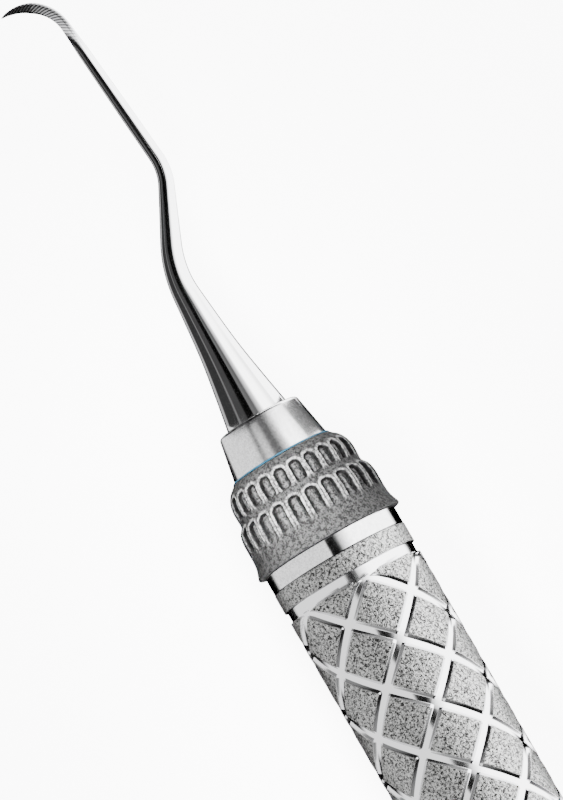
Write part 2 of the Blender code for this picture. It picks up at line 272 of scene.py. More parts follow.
def handlingGroup():
    # faint smears and wear from handling: slow noise over the whole surface
    group, given, result = socketGroup("handlingMarks", {"Low": 0.1, "High": 0.2}, ["Roughness", "Mask"])
    slow = noiseNode(group, coordinates(group), 260.0, 5.0, 0.65)
    mask = rangeNode(group, slow, 0.35, 0.68, 0.0, 1.0, smooth=True)
    group.links.new(mask, result.inputs["Mask"])
    rough = rangeNode(group, mask, 0.0, 1.0, given.outputs["Low"], given.outputs["High"])
    group.links.new(rough, result.inputs["Roughness"])
    return group


grainGroup, linesGroup, marksGroup = blastGrainGroup(), turnedLinesGroup(), handlingGroup()


def newMaterial(name, metallic):
    material = bpy.data.materials.new(name)
    material.use_nodes = True
    tree = material.node_tree
    shader = tree.nodes["Principled BSDF"]
    shader.inputs["Metallic"].default_value = metallic
    return material, tree, shader


def useGroup(tree, group, **values):
    node = tree.nodes.new("ShaderNodeGroup")
    node.node_tree = group
    feed(tree, node, values)
    return node


def greyRamp(tree, value, low, high, stops):
    # greys at given values, with straight steps between them
    ramp = tree.nodes.new("ShaderNodeValToRGB")
    tree.links.new(rangeNode(tree, value, low, high, 0.0, 1.0), ramp.inputs["Fac"])
    elements = ramp.color_ramp.elements
    while len(elements) < len(stops):
        elements.new(0.5)
    for element, (place, grey) in zip(elements, stops):
        element.position = (place - low) / (high - low)
        element.color = (grey, grey, grey, 1.0)
    return ramp.outputs["Color"]


def mixColours(tree, factor, low, high):
    node = tree.nodes.new("ShaderNodeMix")
    node.data_type = "RGBA"
    feed(tree, node, {"Factor": factor, 6: low, 7: high})
    return node.outputs[2]


def addBump(tree, shader, layers):
    # bumps of (height, depth in metres), one on top of the other
    below = {}
    for height, depth in layers:
        bump = tree.nodes.new("ShaderNodeBump")
        feed(tree, bump, {"Distance": depth, "Height": height, **below})
        below = {"Normal": bump.outputs["Normal"]}
    feed(tree, shader, below)


def attributeValue(tree, name):
    node = tree.nodes.new("ShaderNodeAttribute")
    node.attribute_name = name
    return node.outputs["Fac"]


handleSteel = {
    "polished": (0.68, 0.68, 0.69),
    "blastedLow": (0.015, 0.015, 0.015),
    "blastedHigh": (0.4, 0.4, 0.395),
    "blastedRough": 0.42,
    "grain": {"GrainsPerMetre": 13000.0, "Contrast": 1.5},
    "grainDepth": 0.02 * mm,
    "lines": {"LinesPerMetre": 16000.0},
    "lineDepth": 0.001 * mm,
    "handled": {"Low": 0.1, "High": 0.17},  # roughness of clean and of smeared polish
}


def knurledSteel():
    # polished where the attribute "polish" is 1, and blasted with a coarse grain where it is 0
    material, tree, shader = newMaterial("knurledSteel", 1.0)
    polish = attributeValue(tree, "polish")
    grain = useGroup(tree, grainGroup, **handleSteel["grain"])
    marks = useGroup(tree, marksGroup, **handleSteel["handled"])
    lines = useGroup(tree, linesGroup, **handleSteel["lines"])
    blasted = mixColours(tree, grain.outputs["Tone"], handleSteel["blastedLow"], handleSteel["blastedHigh"])
    steel = mixColours(tree, polish, blasted, handleSteel["polished"])
    rough = tree.nodes.new("ShaderNodeMix")
    feed(tree, rough, {"Factor": polish, 2: handleSteel["blastedRough"], 3: marks.outputs["Roughness"]})
    feed(tree, shader, {"Base Color": steel, "Roughness": rough.outputs[0]})
    blastedShare = mathNode(tree, "SUBTRACT", 1.0, polish)
    height = mathNode(tree, "MULTIPLY", grain.outputs["Height"], blastedShare)
    layers = [(height, handleSteel["grainDepth"]), (lines.outputs["Height"], handleSteel["lineDepth"])]
    addBump(tree, shader, layers)
    return material


socketSteel = {
    "low": (0.52, 0.52, 0.525),
    "high": (0.68, 0.68, 0.685),
    "grain": {"GrainsPerMetre": 9000.0, "Contrast": 1.0},
    "lines": {"LinesPerMetre": 24000.0},
    "lineDepth": 0.0025 * mm,
    "handled": {"Low": 0.16, "High": 0.24},
    "flangeSmoother": 0.1,  # how much less rough the flange is than the nose
}


def turnedSteel():
    # satin nose and flange: fine turning lines and slow smears
    material, tree, shader = newMaterial("turnedSteel", 1.0)
    polish = attributeValue(tree, "polish")
    lines = useGroup(tree, linesGroup, **socketSteel["lines"])
    marks = useGroup(tree, marksGroup, **socketSteel["handled"])
    grain = useGroup(tree, grainGroup, **socketSteel["grain"])
    steel = mixColours(tree, grain.outputs["Tone"], socketSteel["low"], socketSteel["high"])
    smoother = mathNode(tree, "MULTIPLY", polish, socketSteel["flangeSmoother"])
    rough = mathNode(tree, "SUBTRACT", marks.outputs["Roughness"], smoother)
    feed(tree, shader, {"Base Color": steel, "Roughness": rough})
    addBump(tree, shader, [(lines.outputs["Height"], socketSteel["lineDepth"])])
    return material


tipSteel = {
    "polished": (0.7, 0.7, 0.71),
    "ground": (0.15, 0.15, 0.153),
    "wheelMarks": (0.015, 0.015, 0.016),
    "markDepth": 0.01 * mm,
    "groundRougher": 0.22,  # how much rougher the ground blade is than the shank
    "lines": {"LinesPerMetre": 9000.0},
    "lineDepth": 0.0008 * mm,
    "handled": {"Low": 0.06, "High": 0.13},
}


def bladeSteel():
    # mirror polish on the shank; the ground blade carries slanting wheel marks,
    # set by the attributes "ground" and "alongBlade", which grows by 1 from mark to mark
    material, tree, shader = newMaterial("bladeSteel", 1.0)
    ground = attributeValue(tree, "ground")
    marks = useGroup(tree, marksGroup, **tipSteel["handled"])
    wave = mathNode(tree, "SINE", mathNode(tree, "MULTIPLY", attributeValue(tree, "alongBlade"), math.tau))
    stripes = mathNode(tree, "MULTIPLY", rangeNode(tree, wave, -1.0, 1.0, 0.0, 1.0), ground)
    steel = mixColours(tree, ground, tipSteel["polished"], tipSteel["ground"])
    striped = mixColours(tree, stripes, steel, tipSteel["wheelMarks"])
    rougher = mathNode(tree, "MULTIPLY", ground, tipSteel["groundRougher"])
    rough = mathNode(tree, "ADD", marks.outputs["Roughness"], rougher)
    feed(tree, shader, {"Base Color": striped, "Roughness": rough})
    lines = useGroup(tree, linesGroup, **tipSteel["lines"])
    addBump(tree, shader, [(stripes, tipSteel["markDepth"]), (lines.outputs["Height"], tipSteel["lineDepth"])])
    return material


silicone = {
    "paintedLightGreys": [(0.0, 0.006), (0.45, 0.048), (0.6, 0.085), (1.0, 0.3)],  # value of the tone attribute and its grey: 0 is painted shade in a pocket's walls, 0.45 the silicone's own grey, 0.6 a painted highlight on a pocket's floor, 1 a painted highlight on its rim
    "speckle": [0.35, 1.65],  # the grain's darkest and lightest, as a share of that grey
    "grain": {"GrainsPerMetre": 9000.0, "Contrast": 1.5},
    "grainDepth": 0.03 * mm,
    "handled": {"Low": 0.5, "High": 0.65},
    "specular": 0.04,
}


def gripSilicone():
    # matt silicone: its grey follows the tone attribute, from 0, painted shade in a pocket's walls, to 1, a painted
    # highlight on the rim round it; the plain surface keeps the silicone's own grey
    material, tree, shader = newMaterial("gripSilicone", 0.0)
    grain = useGroup(tree, grainGroup, **silicone["grain"])
    marks = useGroup(tree, marksGroup, **silicone["handled"])
    colour = greyRamp(tree, attributeValue(tree, "tone"), 0.0, 1.0, silicone["paintedLightGreys"])
    speckle = rangeNode(tree, grain.outputs["Tone"], 0.0, 1.0, *silicone["speckle"])
    vary = tree.nodes.new("ShaderNodeVectorMath")
    vary.operation = "SCALE"
    feed(tree, vary, {0: colour, "Scale": speckle})
    feed(tree, shader, {"Base Color": vary.outputs[0], "Roughness": marks.outputs["Roughness"]})
    feed(tree, shader, {"Specular IOR Level": silicone["specular"]})
    addBump(tree, shader, [(grain.outputs["Height"], silicone["grainDepth"])])
    return material


rubber = {
    "blueBand": {"low": (0.006, 0.06, 0.11), "high": (0.01, 0.09, 0.155), "handled": {"Low": 0.4, "High": 0.5}},
    "sealRubber": {"low": (0.012, 0.012, 0.012), "high": (0.03, 0.03, 0.03), "handled": {"Low": 0.4, "High": 0.6}},
    "grain": {"GrainsPerMetre": 9000.0, "Contrast": 0.8},
    "grainDepth": 0.01 * mm,
}


def plainRubber(name):
    material, tree, shader = newMaterial(name, 0.0)
    values = rubber[name]
    grain = useGroup(tree, grainGroup, **rubber["grain"])
    marks = useGroup(tree, marksGroup, **values["handled"])
    colour = mixColours(tree, grain.outputs["Tone"], values["low"], values["high"])
    feed(tree, shader, {"Base Color": colour, "Roughness": marks.outputs["Roughness"]})
    addBump(tree, shader, [(grain.outputs["Height"], rubber["grainDepth"])])
    return material


tube = {
    "starts": 6,  # grooves of each hand
    "pitch": 4.7 * mm,  # distance along the handle between two grooves of one hand
    "crossAt": -5.47 * mm,  # one crossing, from the front grip's lip
    "crossDegrees": 71.0,  # and its angle about the handle
    "floorHalf": 0.18 * mm,
    "wall": 0.22 * mm,
    "wallSlopes": [0.6, 1.0],  # at the floor and at the pad
    "polishUpTo": 0.9,  # share of the pad's height that the polish reaches
    "runIn": 1.6 * mm,  # length over which a groove leaves the end groove on a curve
    "band": 1.33 * mm,
    "endGroove": 0.75 * mm,
    "bore": 3.95 * mm,
}
tubeRadius = outerRadius("handle_tube")
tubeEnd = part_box("handle_tube")[1].x


def cellSteps(width):
    # distances from the middle of a groove to the middle of a pad, closer together at the groove's wall
    wall = tube["floorHalf"] + tube["wall"] * np.array([0.0, 0.12, 0.42, 0.72, 1.0, 1.1])
    pad = wall[-1] + (width / 2 - wall[-1]) * np.array([0.35, 1.0])
    side = np.concatenate([[0.0, tube["floorHalf"] * 0.9], wall, pad])
    return np.concatenate([side, width - side[-2:0:-1]]) / width


def cutGrid(points, faces, end):
    # the grid cut off by planes at x = end and -end, as its points and its faces grouped by number of corners
    mesh = bpy.data.meshes.new("knurlGrid")
    mesh.from_pydata(points.tolist(), [], faces.tolist())
    bm = bmesh.new()
    bm.from_mesh(mesh)
    for side in (1, -1):
        bmesh.ops.bisect_plane(
            bm,
            geom=bm.verts[:] + bm.edges[:] + bm.faces[:],
            dist=1e-9,
            plane_co=(side * end, 0, 0),
            plane_no=(side, 0, 0),
            clear_outer=True,
        )
    bm.to_mesh(mesh)
    bm.free()
    sizes = np.empty(len(mesh.polygons), np.int32)
    mesh.polygons.foreach_get("loop_total", sizes)
    corners = np.empty(len(mesh.loops), np.int32)
    mesh.loops.foreach_get("vertex_index", corners)
    used, corners = np.unique(corners, return_inverse=True)
    starts = np.cumsum(sizes) - sizes
    groups = [corners[starts[sizes == size][:, None] + np.arange(size)] for size in np.unique(sizes)]
    kept = readPoints(mesh)[used]
    bpy.data.meshes.remove(mesh)
    return kept, groups


def knurledTube():
    # a grid whose lines follow the grooves of both hands: groove lines are where a and b are whole numbers,
    # with angle = (a + b) / 2 * (one start's angle) and distance along = (b - a) / 2 * pitch.
    # The radius is the floor's plus depth * wall(a) * wall(b), where wall rises from the groove's flat floor
    # as slope * distance + bend * distance^2, so that it grows steeper towards the pad. Near each end
    # the distance along is squeezed to d^2 / (2 * runIn), which turns every groove into the end groove on a curve.
    startAngle = math.tau / tube["starts"]
    around = startAngle * tubeRadius
    across = around * tube["pitch"] / math.hypot(around, tube["pitch"])
    steps = cellSteps(across)
    n = len(steps)
    knurlEnd = tubeEnd - tube["band"] - tube["endGroove"]
    flatEnd = knurlEnd + tube["runIn"] / 2
    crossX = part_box("front_grip_ring")[0].x + tube["crossAt"]
    columns = tube["starts"] * n
    aIndex = np.arange(columns)[:, None]
    kFirst = (math.floor((-flatEnd - crossX) * 2 / tube["pitch"]) - 1) * n  # one cell past each end, to be cut off
    kLast = (math.ceil((flatEnd - crossX) * 2 / tube["pitch"]) + 1) * n
    kIndex = np.arange(kFirst, kLast + 1)[None]
    bIndex = aIndex + kIndex
    a = aIndex // n + steps[aIndex % n]
    b = bIndex // n + steps[bIndex % n]
    angle = math.radians(tube["crossDegrees"]) + (a + b) / 2 * startAngle
    along = crossX + (b - a) / 2 * tube["pitch"]

    slope, steepest = tube["wallSlopes"]
    depth = tube["wall"] * (slope + steepest) / 2
    bend = (steepest - slope) / (2 * tube["wall"])

    def wall(cell):
        distance = np.clip(np.abs(cell - np.round(cell)) * across - tube["floorHalf"], 0.0, tube["wall"])
        return (slope * distance + bend * distance**2) / depth

    floorRadius = tubeRadius - depth
    radius = floorRadius + depth * wall(a) * wall(b)
    points = np.stack([along, radius * np.cos(angle), radius * np.sin(angle)], axis=-1).reshape(-1, 3)
    rows = kIndex.size
    k = np.arange(1, rows - 1)[None]
    nextColumn = (aIndex + 1) % columns
    here, beside = aIndex * rows + k, nextColumn * rows + k
    faces = np.stack([here, beside - 1, beside, here + 1], axis=-1).reshape(-1, 4)
    points, groups = cutGrid(points, faces, flatEnd)

    left = flatEnd - np.abs(points[:, 0])
    squeezed = np.where(left < tube["runIn"], left**2 / (2 * tube["runIn"]), left - tube["runIn"] / 2)
    points[:, 0] = np.copysign(knurlEnd - squeezed, points[:, 0])
    height = (np.hypot(points[:, 1], points[:, 2]) - floorRadius) / depth
    polish = 1 - np.clip((height - tube["polishUpTo"]) / (1 - tube["polishUpTo"]), 0, 1)

    bandStart = tubeEnd - tube["band"]
    ends = np.array([  # distance along, radius, share of the pad's height kept, polish
        (knurlEnd + 0.02 * mm, floorRadius, 0.8, 1.0),
        (knurlEnd + 0.05 * mm, floorRadius, 0.2, 1.0),
        (knurlEnd + 0.08 * mm, floorRadius, 0.0, 1.0),
        (knurlEnd + 0.3 * mm, floorRadius, 0.0, 1.0),
        (bandStart - 0.05 * mm, floorRadius, 0.0, 1.0),
        (bandStart - 0.02 * mm, floorRadius + 0.02 * mm, 0.0, 1.0),
        (bandStart, tubeRadius - 0.02 * mm, 0.0, 0.3),
        (bandStart + 0.03 * mm, tubeRadius, 0.0, 0.0),
        (bandStart + 0.2 * mm, tubeRadius, 0.0, 0.0),
        (tubeEnd - 0.2 * mm, tubeRadius, 0.0, 0.0),
        (tubeEnd - 0.06 * mm, tubeRadius, 0.0, 0.0),
        (tubeEnd - 0.02 * mm, tubeRadius - 0.02 * mm, 0.0, 0.5),
        (tubeEnd, tubeRadius - 0.06 * mm, 0.0, 1.0),
        (tubeEnd, tube["bore"], 0.0, 1.0),
        (tubeEnd - 0.5 * mm, tube["bore"], 0.0, 1.0),
    ])
    # at each end the cut edge is carried through these rings, and the last two rings are joined as the bore
    boreRings = []
    for side in (1, -1):
        edge = np.flatnonzero((left < 1e-8) & (points[:len(left), 0] * side > 0))
        turn = np.arctan2(points[edge, 2], points[edge, 1])
        edge, turn = edge[np.argsort(turn)], np.sort(turn)
        raised = np.hypot(points[edge, 1], points[edge, 2]) - floorRadius
        raised = np.maximum(raised, 0)[None] * np.cumprod(ends[:, 2])[:, None]
        rings = turnedPoints(side * ends[:, 0], ends[:, 1][:, None] + raised, len(edge), turn)
        ringIndex = len(points) + np.arange(rings[..., 0].size).reshape(len(ends), -1)
        index = np.concatenate([edge[None], ringIndex])
        nextIndex = np.roll(index, -1, axis=1)
        quads = np.stack([index[:-1], nextIndex[:-1], nextIndex[1:], index[1:]], axis=-1).reshape(-1, 4)
        groups.append(quads[:, ::side])
        points = np.concatenate([points, rings.reshape(-1, 3)])
        polish = np.concatenate([polish, np.repeat(ends[:, 3], len(edge))])
        boreRings.append((ringIndex[-1], turn))
    (front, frontTurn), (rear, rearTurn) = boreRings
    rear = np.roll(rear, -np.argmin(np.abs(rearTurn - frontTurn[0])))
    groups.append(np.stack([front, np.roll(front, -1), np.roll(rear, -1), rear], axis=-1))
    return makePiece("handleTube", points, groups, attributes={"polish": polish}, sharpDegrees=50)


handlePiece = knurledTube()
print("handle tube", len(handlePiece.data.polygons), "faces")

# the screw thread, the seat and the seal are shared by the working end and its socket
thread = {
    "pitch": 0.8 * mm,
    "turns": 4,
    "depth": 0.36 * mm,
    "root": 0.552 * mm,  # width of the ridge at its foot
    "crest": 0.152 * mm,  # and at its top
    "core": 1.34 * mm,
    "tangEnd": 0.5 * mm,  # plain tang behind the thread
    "holeEnd": 0.6 * mm,  # free hole behind the tang
}
fit = {"seat": 0.03 * mm, "thread": 0.06 * mm, "face": 0.03 * mm}  # gaps between the pieces
seat = {
    "atMouth": 2.16 * mm,
    "taper": 0.18 * mm,  # by how much the radius falls over the length
    "length": 2.0 * mm,
    "sealGroove": 0.66 * mm,
    "land": 0.3 * mm,
    "landRadius": 1.62 * mm,
}
seal = {"section": 0.5 * mm, "setback": 0.05 * mm, "floorGap": 0.06 * mm}
seatEndRadius = seat["atMouth"] - seat["taper"]
sealRadius = seatEndRadius - seal["section"] / 2 - seal["setback"]
sealFloor = sealRadius - seal["section"] / 2 - seal["floorGap"]
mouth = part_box("front_socket")[1].x
sealFront = mouth - seat["length"]
sealBack = sealFront - seat["sealGroove"]
landBack = sealBack - seat["land"]
threadFront = landBack - thread["root"] / 2
threadBack = threadFront - thread["pitch"] * thread["turns"]
tangBack = threadBack - thread["tangEnd"]
holeBottom = tangBack - thread["holeEnd"]


def threadHeight(x, angle, extraWidth, first, last):
    # how far the right-hand ridge stands out, from 0 to 1: a trapezoid about the line where
    # x - threadFront equals pitch * angle / (one turn), faded out over a third of a pitch at both ends
    turns = (x - threadFront) / thread["pitch"] - angle / math.tau
    offAxis = np.abs(turns - np.round(turns)) * thread["pitch"]
    root = (thread["root"] + extraWidth) / 2
    crest = (thread["crest"] + extraWidth) / 2
    ridge = np.clip((root - offAxis) / (root - crest), 0.0, 1.0)
    fade = thread["pitch"] / 3
    return ridge * smoothStep(first, first + fade, x) * (1 - smoothStep(last - fade, last, x))


socket = {
    "columns": 160,
    "flangeStep": 0.04 * mm,
    "seatRadius": 3.4 * mm,
    "noseWall": 0.66 * mm,
    "noseEdge": 0.22 * mm,
    "spigotWall": 0.9 * mm,
    "web": 1.2 * mm,
}


def socketPiece():
    # outside and hollow are a turned outline; the hole's radius is core + depth * threadHeight
    gripBack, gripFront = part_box("front_grip_ring")[0].x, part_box("front_grip_ring")[1].x
    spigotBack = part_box("front_socket")[0].x
    flangeBack, flangeFront = tubeEnd + fit["face"], gripBack - fit["face"]
    spigotRadius = tube["bore"] - fit["seat"]
    hollow = socket["seatRadius"] - socket["spigotWall"]
    flange = tubeRadius - socket["flangeStep"]
    mouthRadius = seat["atMouth"] + fit["seat"]
    innerSeat = seatEndRadius + fit["seat"]
    core = thread["core"] + fit["thread"]
    hollowEnd = holeBottom - socket["web"]
    holeFront = landBack - fit["face"]
    outside = roundedOutline([
        (hollowEnd, 0.3 * mm, 0),
        (hollowEnd, hollow, 0.2 * mm),
        (spigotBack, hollow, 0.1 * mm),
        (spigotBack, spigotRadius - 0.4 * mm, 0.05 * mm),
        (spigotBack + 0.4 * mm, spigotRadius, 0.05 * mm),
        (flangeBack, spigotRadius, 0.02 * mm),
        (flangeBack, flange, 0.04 * mm),
        (flangeFront, flange, 0.04 * mm),
        (flangeFront, socket["seatRadius"], 0.02 * mm),
        (gripFront, socket["seatRadius"], 0.05 * mm),
        (mouth, mouthRadius + socket["noseWall"] - 0.02 * mm, socket["noseEdge"]),
        (mouth, mouthRadius + 0.06 * mm, 0.05 * mm),
        (mouth - 0.06 * mm, mouthRadius, 0.02 * mm),
        (sealFront, innerSeat, 0.02 * mm),
        (holeFront, innerSeat, 0.02 * mm),
        (holeFront, core + 0.1 * mm, 0.03 * mm),
    ], closed=False)
    holeX = np.arange(holeFront - 0.04 * mm, holeBottom, -0.05 * mm)
    columns = socket["columns"]
    angle = np.arange(columns) * math.tau / columns
    ridge = threadHeight(holeX[:, None], angle, 2 * fit["thread"], tangBack, landBack + 0.4 * mm)
    holeRadius = core + thread["depth"] * ridge
    bottom = np.array([(holeBottom, thread["core"] * 0.95), (holeBottom, thread["core"] * 0.4)])
    asColumns = [np.repeat(part[:, 1][:, None], columns, 1) for part in (outside, bottom)]
    x = np.concatenate([outside[:, 0], holeX, bottom[:, 0]])
    radius = np.concatenate([asColumns[0], holeRadius, asColumns[1]])
    rows = turnedPoints(x, radius, columns)
    onFlange = (np.abs(x - (flangeBack + flangeFront) / 2) < (flangeFront - flangeBack) / 2 + 0.01 * mm)
    onFlange &= radius[:, 0] > socket["seatRadius"] + 0.1 * mm
    polish = np.repeat(onFlange.astype(float)[:, None], columns, 1)
    return polarSolid("frontSocket", rows, (hollowEnd, 0, 0), (holeBottom, 0, 0), attributes={"polish": polish})


frontSocket = socketPiece()
rearSocket = turnedRound(frontSocket)
print("sockets", len(frontSocket.data.polygons), "faces each")

grip = {
    "pockets": 24,
    "tiers": [  # along from the lip's plane; "fade" is the length over which the end near the lip fades out
        {"from": 3.80 * mm, "to": 5.42 * mm, "half": 0.43 * mm, "depth": 0.27 * mm, "fade": 0.35 * mm},
        {"from": 1.15 * mm, "to": 3.42 * mm, "half": 0.46 * mm, "depth": 0.3 * mm, "fade": 1.0 * mm},
    ],
    "wall": 0.16 * mm,
    "crown": 0.5,  # how far the middle of a pocket's floor rises again, as a share of its depth
    "length": 6.13 * mm,
    "bore": 3.43 * mm,
    "outline": [  # distance from the back face and radius, in millimetres
        (0.00, 5.085), (0.05, 5.13), (0.16, 5.125), (0.32, 5.065), (0.5, 5.0), (0.75, 4.92),
        (1.05, 4.87), (1.4, 4.85), (2.0, 4.85), (2.5, 4.845), (2.8, 4.81), (3.05, 4.755),
        (3.27, 4.66), (3.43, 4.53), (3.56, 4.43), (3.7, 4.40), (3.9, 4.405), (4.3, 4.42),
        (4.7, 4.41), (5.0, 4.36), (5.3, 4.26), (5.55, 4.13), (5.8, 3.93), (6.0, 3.69),
    ],
    "plainTone": 0.45,
}


def gripPiece():
    # the radius is the outline's, less a pocket's depth where the distance to a rounded slot is under zero:
    # distance = |(max(|across| - half + corner, 0), max(|along| - reach + corner, 0))| - corner
    back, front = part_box("front_grip_ring")[0].x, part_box("front_grip_ring")[1].x
    stretch = (front - back) / grip["length"]
    given = np.array(grip["outline"]) * mm * [stretch, 1.0]
    x = np.concatenate([np.linspace(0, 0.4, 9), np.linspace(0.45, 6.0, 112)]) * mm * stretch
    base = smoothCurve(given[:, 0], given[:, 1], x)
    pocketTurn = math.tau / grip["pockets"]
    side = np.array([0.0, 0.22, 0.42, 0.55, 0.62, 0.67, 0.71, 0.75, 0.79, 0.86]) * pocketTurn / 2
    within = np.concatenate([side, pocketTurn - side[:0:-1]])
    within = np.insert(within, len(side), pocketTurn / 2)
    angle = (np.arange(grip["pockets"])[:, None] * pocketTurn + pocketTurn / 2 + within[None]).ravel()
    offset = np.tile(np.where(within > pocketTurn / 2, within - pocketTurn, within), grip["pockets"])[None]
    columns = len(angle)
    radius = np.repeat(base[:, None], columns, 1)
    tone = np.full_like(radius, grip["plainTone"])
    wallWidth = grip["wall"]
    for tier in grip["tiers"]:
        middle, reach = (tier["from"] + tier["to"]) / 2, (tier["to"] - tier["from"]) / 2
        corner = tier["half"] * 0.9
        across = np.maximum(np.abs(offset * base[:, None]) - tier["half"] + corner, 0)
        lengthways = np.maximum(np.abs(x[:, None] - middle) - reach + corner, 0)
        distance = np.hypot(across, lengthways) - corner
        inside = 1 - smoothStep(-wallWidth, 0.01 * mm, distance)
        fade = smoothStep(tier["from"], tier["from"] + tier["fade"], x[:, None])
        crown = 1 - grip["crown"] * smoothStep(0.0, tier["half"] * 0.6, -distance - wallWidth)
        radius -= tier["depth"] * inside * fade * crown
        # painted light in the tone attribute: each pocket's walls are darkened as painted shade, while a thin rim
        # round it and its floor are lightened as painted highlights
        wall = smoothStep(-wallWidth * 1.6, -wallWidth * 0.8, distance)
        wall *= 1 - smoothStep(-0.06 * mm, 0.01 * mm, distance)
        paintedRimHighlight = smoothStep(-0.05 * mm, 0.0, distance) * (1 - smoothStep(0.08 * mm, 0.2 * mm, distance))
        floor = 1 - smoothStep(-wallWidth * 1.6, -wallWidth * 1.1, distance)
        tone += fade * (0.15 * floor - 0.45 * wall + 0.55 * paintedRimHighlight)
    bore = grip["bore"] / mm
    ends = np.array([
        (6.1, 3.58), (6.13, 3.5), (6.13, bore), (5.93, bore), (0.1, bore), (0.0, bore + 0.1), (0.0, 4.2), (0.0, 4.95),
    ]) * mm * [stretch, 1.0]
    x = back + np.concatenate([x, ends[:, 0]])
    radius = np.concatenate([radius, np.repeat(ends[:, 1][:, None], columns, 1)])
    tone = np.concatenate([np.clip(tone, 0, 1), np.full((len(ends), columns), grip["plainTone"])])
    points = turnedPoints(x, radius, columns, angle).reshape(-1, 3)
    faces = [gridFaces(len(x), columns, closeRows=True)]
    return makePiece("frontGrip", points, faces, attributes={"tone": tone.ravel()})


frontGrip = gripPiece()
rearGrip = turnedRound(frontGrip)
print("grips", len(frontGrip.data.polygons), "faces each")


codeBand = {"wall": 0.12 * mm, "columns": 128}


def codeBandPiece():
    # a thin rounded wedge turned about the X axis, on the back half of its CAD node
    low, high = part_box("front_code_band")
    inner, wall = grip["bore"], codeBand["wall"]
    outline = roundedOutline([
        (low.x, inner, 0),
        (low.x, inner + wall, 0.03 * mm),
        (low.x * 0.6 + high.x * 0.4, inner + wall / 2, 0.03 * mm),
        (low.x * 0.5 + high.x * 0.5, inner, 0.02 * mm),
    ], closed=True)
    return turnedRing("frontCodeBand", outline, codeBand["columns"])


def sealPiece():
    # a circle of the cord's radius turned about the X axis
    middle = (sealFront + sealBack) / 2
    turn = np.linspace(0, math.tau, 24, endpoint=False)
    half = seal["section"] / 2
    outline = np.stack([middle + half * np.cos(turn), sealRadius + half * np.sin(turn)], axis=-1)
    return turnedRing("frontTipSeal", outline, 96)


frontCodeBand, frontSeal = codeBandPiece(), sealPiece()
rearCodeBand, rearSeal = turnedRound(frontCodeBand), turnedRound(frontSeal)
print("code bands and seals")

shank = {
    "columns": 72,
    "run": 9.1 * mm,
    "firstBend": (8.0 * mm, -25.3),  # radius and degrees
    "middle": 3.7 * mm,
    "secondBend": (4.0 * mm, 30.0),
    "terminal": 10.25 * mm,
    "bladeBend": (2.8 * mm, 96.5),
    "widths": [  # distance along from the mouth and diameter, in millimetres
        (2.3, 3.50), (4.9, 2.68), (7.4, 2.14), (10.0, 1.68), (13.0, 1.36), (17.4, 1.00), (22.0, 0.91), (28.4, 0.74),
    ],
    "step": 0.12 * mm,
}
blade = {
    "height": 0.66 * mm,
    "width": 0.84 * mm,
    "morph": 2.2 * mm,  # length over which the round shank turns into the blade
    "taper": 2.1 * mm,
    "tip": 0.05,  # size of the toe, as a share of the blade's
    "marksPerMetre": 4300.0,
    "markSlant": 3.2,  # marks by which a line round the blade lags from face to back
    "faceEnd": 0.22,  # where the face and the side end, from 0 at the face's middle to 1 at the back
    "sideEnd": 0.58,
}


def centreLine():
    # the heading is worked out from the arc lengths and bends, and the place by adding up its cosine and sine
    lengths, turns = [0.0], [0.0]
    for item in ("run", "firstBend", "middle", "secondBend", "terminal", "bladeBend"):
        length, turn = shank[item], 0.0
        if isinstance(length, tuple):
            turn = math.radians(length[1])
            length = length[0] * abs(turn)
        lengths.append(lengths[-1] + length)
        turns.append(turns[-1] + turn)
    fine = np.linspace(0, lengths[-1], 4001)
    heading = np.interp(fine, lengths, turns)
    middle = (heading[1:] + heading[:-1]) / 2
    step = fine[1]
    x = mouth + np.concatenate([[0], np.cumsum(np.cos(middle) * step)])
    y = np.concatenate([[0], np.cumsum(np.sin(middle) * step)])
    return fine, x, y, heading, lengths[-2]


def bladeOutline(columns):
    # towards the face and across, for a blade of height 2 and width 2: a flat face, flat ground sides
    # that lean in to 0.62 of the width, and a rounded back
    faceEnd, sideEnd = blade["faceEnd"], blade["sideEnd"]
    share = np.arange(columns) / columns
    half = np.minimum(share, 1 - share) * 2  # 0 at the middle of the face, 1 at the back
    t = np.clip((half - faceEnd) / (sideEnd - faceEnd), 0, 1)
    u = np.clip((half - sideEnd) / (1 - sideEnd), 0, 1) * math.pi / 2
    regions = [half < faceEnd, half < sideEnd]
    height = np.select(regions, [np.ones(columns), 1.0 - 1.15 * t], -0.15 - 0.85 * np.sin(u))
    width = np.select(regions, [half / faceEnd, 1.0 - 0.38 * t], 0.62 * np.cos(u))
    return height, width * np.where(share > 0.5, -1, 1), half


